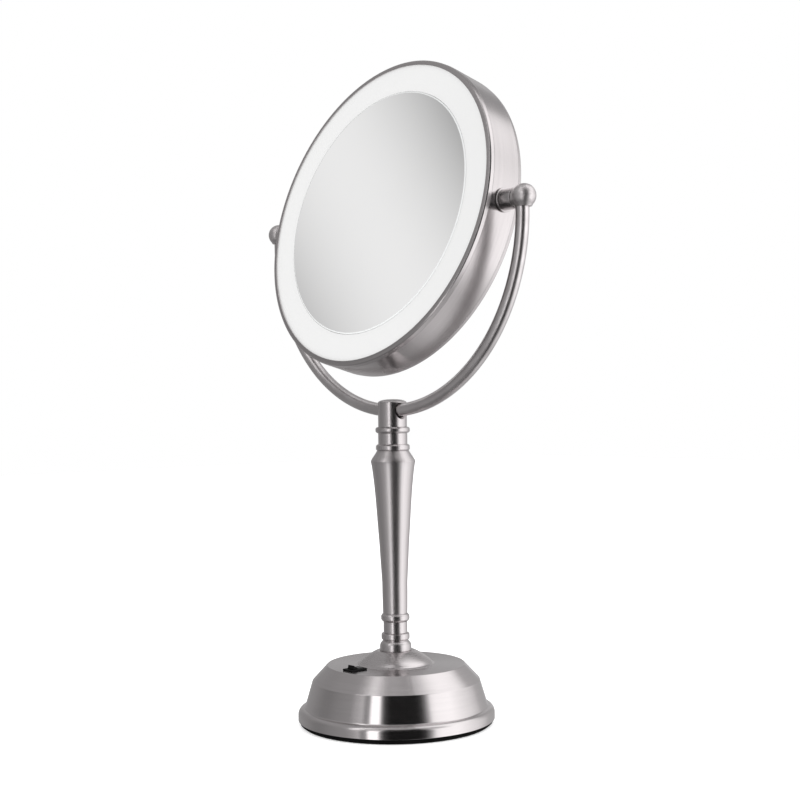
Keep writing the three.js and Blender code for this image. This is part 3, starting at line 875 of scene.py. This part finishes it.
lower_neck = spin("column_lower_neck", [
    (ROD_BORE, BULB_TOP), (9.4, BULB_TOP, 0.3), (9.35, 79.6, 0.5), (10.2, 80.1, 0.5), (11.2, 81.3, 1.2),
    (11.2, 84.3, 1.2), (10.3, 85.5, 0.5), (9.7, TAPER_FOOT), (ROD_BORE, TAPER_FOOT),
], 96)
dress(lower_neck, "satin_nickel_turned", "satin_nickel", "stand", "lower_neck")

taper = spin("column_taper", [
    (ROD_BORE, TAPER_FOOT), (9.6, TAPER_FOOT, 0.3), (9.75, 91.0), (9.9, 100.9), (9.97, 110.3), (10.5, 119.8),
    (11.06, 129.2), (11.55, 138.7), (12.2, 148.1), (12.9, 157.6), (13.5, 167.0), (14.2, 176.5),
    (14.97, 185.9), (16.0, 195.4), (16.9, 202.0), (17.35, 204.2), (17.7, 205.4, 0.5), (17.0, 207.1),
    (15.8, 208.8), (14.7, 210.4), (13.75, 211.9), (12.85, 213.4), (12.5, TAPER_TOP, 0.3),
    (ROD_BORE, TAPER_TOP),
], 112)
dress(taper, "satin_nickel_upright", "satin_nickel", "stand", "tapered_column")

upper_neck = spin("column_upper_neck", [
    (ROD_BORE, TAPER_TOP), (12.4, TAPER_TOP, 0.4), (13.3, 214.9, 1.0), (13.3, 217.7, 1.0), (12.4, 218.7, 0.4),
    (11.45, 219.0, 0.4), (11.45, 227.6, 0.4), (12.5, 228.0, 0.4), (13.5, 229.0, 1.2), (13.5, 231.4, 1.2),
    (12.4, SOCKET_FOOT), (ROD_BORE, SOCKET_FOOT),
], 96)
dress(upper_neck, "satin_nickel_turned", "satin_nickel", "stand", "upper_neck")

# %% [markdown]
# The yoke passes right through the socket. Its hole is drilled with a countersink at each
# mouth, which reads as a bright ring round the tube. A domed cap closes the top.

# %% Yoke socket and cap
CROSS_HOLE = 245.6
STEM_RADIUS = 11.3
socket = spin("yoke_socket_stem", [
    (ROD_BORE, SOCKET_FOOT), (STEM_RADIUS, SOCKET_FOOT, 0.3), (STEM_RADIUS, SOCKET_TOP, 0.2), (0, SOCKET_TOP),
    (0, 238.0), (ROD_BORE, 238.0),
], 112)
cross_profile = [(0, -14), (9.2, -14), (5.75, -9.6), (5.75, 9.6), (9.2, 14), (0, 14)]
shape_with(socket, spin("hole_tool", cross_profile, 64, along_x(CROSS_HOLE)))
shape_with(socket, spin("hole_tool", [(0, 3), (2.1, 3), (2.1, 14), (0, 14)], 24, along_y(CROSS_HOLE)))
smooth(socket, 28)
dress(socket, "satin_nickel_turned", "satin_nickel", "stand", "yoke_socket")

cap = spin("stem_dome", [
    (0, SOCKET_TOP), (STEM_RADIUS, SOCKET_TOP, 0.1), (11.25, 252.0, 0.3), (10.4, 252.8), (9.0, 253.4),
    (7.0, 253.9), (4.0, 254.25), (0, 254.4),
], 96)
dress(cap, "satin_nickel_fine", "satin_nickel", "stand", "stem_cap")

grub = spin("yoke_grub_screw", [
    (0, 5.15), (1.95, 5.15, 0.2), (1.95, 10.8, 0.2), (1.1, 10.8), (1.1, 8.8), (0, 8.8),
], 36, along_y(CROSS_HOLE))
dress(grub, "plated_steel", "zinc_steel", "stand", "yoke_set_screw")

# %% [markdown]
# The yoke is one bent tube: a short straight, a half circle and a short straight. A ring
# of points is carried along that line, and because the line lies in one plane the ring
# never twists.

# %% Yoke tube
YOKE_RADIUS = 143.4
YOKE_CENTRE = 388.9
YOKE_END = 393.3
TUBE_RADIUS = 5.0
BORE_RADIUS = 3.7


def yoke_stations(count=176):
    stations = [(Vector((-YOKE_RADIUS, 0, YOKE_END)), Vector((0, 0, -1)))]
    for i in range(count + 1):
        angle = math.pi * i / count
        centre = Vector((-YOKE_RADIUS * math.cos(angle), 0, YOKE_CENTRE - YOKE_RADIUS * math.sin(angle)))
        stations.append((centre, Vector((math.sin(angle), 0, -math.cos(angle)))))
    stations.append((Vector((YOKE_RADIUS, 0, YOKE_END)), Vector((0, 0, 1))))
    return stations


# %% Tube along the bend
def bent_tube(name, stations, outer, inner, sides=40):
    work = bmesh.new()
    across = Vector((0, 1, 0))  # square to the plane that the bend lies in
    loops = []
    for centre, along in stations:
        side = along.cross(across)
        pair = []
        for radius in (outer, inner):
            ring = []
            for step in range(sides):
                angle = 2 * math.pi * step / sides
                spoke = across * math.cos(angle) + side * math.sin(angle)
                ring.append(work.verts.new((centre + radius * spoke) * MM))
            pair.append(ring)
        loops.append(pair)
    for here, there in zip(loops, loops[1:]):
        for k in (0, 1):
            for step in range(sides):
                after = (step + 1) % sides
                work.faces.new((here[k][step], here[k][after], there[k][after], there[k][step]))
    for pair in (loops[0], loops[-1]):
        for step in range(sides):
            after = (step + 1) % sides
            work.faces.new((pair[0][step], pair[0][after], pair[1][after], pair[1][step]))
    bmesh.ops.recalc_face_normals(work, faces=work.faces)
    return new_piece(name, take_mesh(work, name))


yoke = bent_tube("yoke_arms", yoke_stations(), TUBE_RADIUS, BORE_RADIUS)
shape_with(yoke, spin("entry_tool", [(0, 236), (1.7, 236), (1.7, 243), (0, 243)], 24))
smooth(yoke)
dress(yoke, "satin_nickel_tube", "satin_nickel", "stand", "yoke_tube", has_flats=False)

# %% [markdown]
# Each arm ends in a ball with a short collar towards the head, where a sleeve runs in to a
# thin washer on the rim. Ball and collar are joined, and bored for the tube and the pin.

# %% Pivots
BALL_OFFSET = 145.2
BALL_HEIGHT = 397.6
BALL_RADIUS = 8.8
MOUTH_RADIUS = 5.5
MOUTH_LEVEL = -7.6
SIDES = (("left", -1), ("right", 1))


def ball_profile(steps=28):
    """A sphere with its underside cut flat for the tube, and a short cone down to the flat."""
    start = math.asin(MOUTH_RADIUS / BALL_RADIUS) + 0.16
    points = [(0.0, MOUTH_LEVEL), (MOUTH_RADIUS, MOUTH_LEVEL)]
    for step in range(steps):
        angle = start + (math.pi - start) * step / steps
        points.append((BALL_RADIUS * math.sin(angle), -BALL_RADIUS * math.cos(angle)))
    return points + [(0.0, BALL_RADIUS)]


collar = [(0, 138.0), (7.4, 138.0, 0.4), (7.4, 144.8), (0, 144.8)]
for side, sign in SIDES:
    along = outward(sign)
    ball_centre = at(sign * BALL_OFFSET, 0, BALL_HEIGHT)
    tube_end = at(sign * YOKE_RADIUS, 0, BALL_HEIGHT)
    ball = spin(f"pivot_knob_{side}", ball_profile(), 96)
    ball.data.transform(ball_centre)
    shape_with(ball, spin("seat_tool", [(0, 110), (30, 110), (30, 138.0), (0, 138.0)], 24, along))
    shape_with(ball, spin("collar_tool", collar, 72, along), "UNION")
    shape_with(ball, spin("bore_tool", [(0, -20), (5.22, -20), (5.22, -4.0), (0, -4.0)], 40, tube_end))
    shape_with(ball, spin("bore_tool", [(0, 130), (2.65, 130), (2.65, 149.3), (0, 149.3)], 32, along))
    smooth(ball, 30)
    dress(ball, "ball_nickel", "satin_nickel", "stand", f"pivot_ball_{side}", has_flats=False)

    barrel = [(2.9, 127.2), (7.7, 127.2, 0.4), (7.7, 137.7, 0.5), (2.9, 137.7)]
    sleeve = spin(f"pivot_barrel_{side}", barrel, 72, along)
    dress(sleeve, "satin_nickel_fine", "satin_nickel", "stand", f"pivot_sleeve_{side}")

# %% [markdown]
# The head is built upright in its own axes and then leant back about the pivots. Its own Z
# points out of the flat glass's side, so every ring of it is spun the same way.

# %% Head axes
LEAN = 14.6
HEAD = at(0, 0, PIVOT) @ turn_about("X", -LEAN) @ turn_about("X", 90)
REAR = HEAD @ turn_about("Y", 180)
FACES = (("front", HEAD), ("rear", REAR))
print("head faces", [round(v, 3) for v in (HEAD.to_3x3() @ Vector((0, 0, 1)))])

# %% [markdown]
# The rim is a drawn band between two bezels. Each bezel turns over the edge of the light
# ring with a face that falls away slightly, so it mirrors a different part of the room
# from the glass beside it and reads as a darker frame. The rim's radius is a hair under the
# frame's, so that its fine rounds stay inside the frame's box.

# %% Rim band and bezels
RIM = 125.08
rim = spin("rim_hoop", [(124.1, -12.85), (RIM, -12.85, 0.1), (RIM, 12.85, 0.1), (124.1, 12.85)], 256, HEAD)
pin_holes = [(0, -130), (2.9, -130), (2.9, 130), (0, 130)]
shape_with(rim, spin("hole_tool", pin_holes, 32, along_x(PIVOT)))
smooth(rim, 30)
dress(rim, "satin_nickel_band", "satin_nickel", "head", "rim_band")

bezel_profile = [
    (120.75, 16.3, 0.1), (120.75, 17.1, 0.25), (122.6, 16.95), (124.0, 16.65, 0.4), (124.65, 15.9, 0.3),
    (RIM, 12.95, 0.1), (122.8, 12.95), (122.8, 16.3),
]
for side, place in FACES:
    bezel = spin(f"bezel_{side}_ring", bezel_profile, 256, place)
    dress(bezel, "satin_nickel_fine", "satin_nickel", "head", f"bezel_{side}")

# %% [markdown]
# Each light ring is an opal sheet with a barely crowned face. The flat glass and the
# magnifying glass have a narrow ground bevel at the rim, and the second is dished.

# %% Light rings and glasses
opal_profile = [
    (99.4, 13.0), (122.5, 13.0), (122.5, 15.9), (120.4, 15.98), (110.5, 16.1), (100.6, 15.98),
    (99.4, 15.85, 0.15),
]
for side, place in FACES:
    ring = spin(f"light_ring_{side}", opal_profile, 224, place)
    dress(ring, "opal_glow", "opal_diffuser", "head", f"diffuser_{side}")

flat_glass = spin("glass_flat", [
    (0, 13.3), (99.0, 13.3, 0.2), (99.0, 15.7, 0.1), (98.0, 16.3), (0, 16.3),
], 224, HEAD)
smooth(flat_glass, 12)
dress(flat_glass, "silvered_glass", "silvered_glass", "head", "mirror_flat")

DISH_DEPTH = 5.4
GLASS_RADIUS = 99.0


def dished(radius, rim_height):
    return (radius, rim_height - DISH_DEPTH * (1 - (radius / GLASS_RADIUS) ** 2))


back = [dished(radius, 13.3) for radius in (0, 15, 30, 45, 60, 75, 88)]
edge = [(GLASS_RADIUS, 13.3), (GLASS_RADIUS, 15.8, 0.1)]
face = [dished(radius, 16.3) for radius in (98.2, 92, 84, 76, 68, 60, 52, 44, 36, 28, 20, 12, 6, 0)]
dished_glass = spin("glass_magnifying", back + edge + face, 224, REAR)
dress(dished_glass, "silvered_glass", "silvered_glass", "head", "mirror_magnifying")

for side, sign in SIDES:
    thin_ring = [(2.9, 125.5), (9.0, 125.5, 0.2), (9.0, 126.9, 0.5), (2.9, 126.9)]
    washer = spin(f"rim_ring_{side}", thin_ring, 72, outward(sign))
    dress(washer, "satin_nickel_fine", "satin_nickel", "head", f"rim_washer_{side}")

# %% [markdown]
# The switch is a small rocker in a moulded bezel. The key is two shallow paddles that meet
# in a valley, cut from one outline and bevelled, and it rests with its front end up.

# %% Rocker switch
KEY_AXLE = 46.0
KEY_TILT = -15
housing = block("switch_bezel", (-5.5, SWITCH_Y - 7.8, BASE_TOP), (5.5, SWITCH_Y + 7.8, 48.1), 0.5)
shape_with(housing, block("body_tool", (-4.4, SWITCH_Y - 6.6, 34.5), (4.4, SWITCH_Y + 6.6, 47)), "UNION")
shape_with(housing, block("well_tool", (-3.7, SWITCH_Y - 6.05, 41.5), (3.7, SWITCH_Y + 6.05, 50)))
smooth(housing, 30)
dress(housing, "moulded_black", "black_plastic", "stand", "switch_housing")


def rocker_outline(half=4.95, steps=12):
    """The key's side view: a narrow foot below the axle, and two paddles that rise from a valley."""
    top = []
    for step in range(steps + 1):
        y = half - 2 * half * step / steps
        top.append((y, 2.6 + 1.3 * abs(y / half) ** 1.5))
    return [(-half, 0.6), (-3.6, -2.6), (3.6, -2.6), (half, 0.6)] + top


def prism_along_x(name, outline, half_width, round_edge, place):
    work = bmesh.new()
    near = [work.verts.new((-half_width * MM, y * MM, z * MM)) for y, z in outline]
    face = work.faces.new(near)
    grown = bmesh.ops.extrude_face_region(work, geom=[face])
    moved = [v for v in grown["geom"] if isinstance(v, bmesh.types.BMVert)]
    bmesh.ops.translate(work, verts=moved, vec=(2 * half_width * MM, 0, 0))
    bmesh.ops.recalc_face_normals(work, faces=work.faces)
    corners = [e for e in work.edges if len(e.link_faces) == 2 and e.calc_face_angle(0) > 0.6]
    round_off(work, corners, round_edge)
    piece = new_piece(name, take_mesh(work, name), place)
    smooth(piece, 35)
    return piece


key_place = at(0, SWITCH_Y, KEY_AXLE) @ turn_about("X", KEY_TILT)
key = prism_along_x("rocker_key", rocker_outline(), 3.4, 0.3, key_place)
dress(key, "polished_black", "gloss_black", "rocker", "switch_rocker")

# %% [markdown]
# Inside the base the four cells lie side by side in alternate directions. They are spun
# with a rolled shoulder and a small positive nub, and their sleeve colour stops short of
# both metal ends.

# %% Cells
CELL_PITCH = 15.0
CELL_LEVEL = 15.2
cell_profile = [
    (0, -25.25), (5.6, -25.25, 0.3), (5.9, -25.0, 0.2), (7.25, -24.7, 0.5), (7.25, 24.25, 0.7),
    (5.8, 24.25, 0.2), (5.4, 23.9, 0.2), (2.75, 24.1, 0.3), (2.75, 25.25, 0.3), (0, 25.25),
]
for i in range(4):
    place = at((i - 1.5) * CELL_PITCH, 0, CELL_LEVEL) @ turn_about("X", 90 if i % 2 else -90)
    cell = spin(f"power_cell_{i + 1}", cell_profile, 56, place)
    dress(cell, "cell_sleeve", "cell_jacket", "stand", f"battery_cell_{i + 1}")

# %% [markdown]
# The remaining inner pieces keep their frame solids, whose shapes are already right, and
# only take a finish each.

# %% Inner pieces
INNER = {
    "rough_casting": ["ballast_weight"],
    "moulded_black": ["battery_box", "pivot_bush_left", "pivot_bush_right"],
    "plated_steel": [
        "standoff_post_1", "standoff_post_2", "standoff_post_3", "tie_rod", "lock_washer", "tie_nut",
        "pivot_pin_left", "pivot_pin_right", "lock_nut_left", "lock_nut_right", "contact_strip_front",
        "contact_strip_rear", "friction_washer_left", "friction_washer_right",
    ],
    "green_board": ["driver_board"],
    "white_board": ["led_board_front", "led_board_rear"],
    "moulded_white": ["head_frame"],
    "wire_jacket": ["lead_wire"],
}
for finish_name, names in INNER.items():
    for name in names:
        solid = bpy.data.objects[name]
        solid.data.materials.clear()
        solid.data.materials.append(finishes[finish_name])
    print(finish_name, "on", ", ".join(names))

# %% [markdown]
# The floor is a plain pale sheet with a little glow of its own, which keeps it white. It takes
# a faint shade under the foot but is left out of the metal's reflections, so the base mirrors
# the studio's panels and not the floor.

# %% Floor
FLOOR_REACH = 4.0
sheet = bmesh.new()
bmesh.ops.create_grid(sheet, x_segments=1, y_segments=1, size=FLOOR_REACH)
floor = new_piece("floor", take_mesh(sheet, "floor"))
floor.visible_glossy = False
finish("pale_floor", lambda r: {
    "Base Color": r.blend(r.noise(r.place(), 3.0), (0.94, 0.94, 0.94, 1.0), (0.955, 0.955, 0.955, 1.0)),
    "Roughness": 0.9,
    "Emission Color": (1.0, 1.0, 1.0, 1.0),
    "Emission Strength": 0.45,
})
floor.data.materials.append(finishes["pale_floor"])
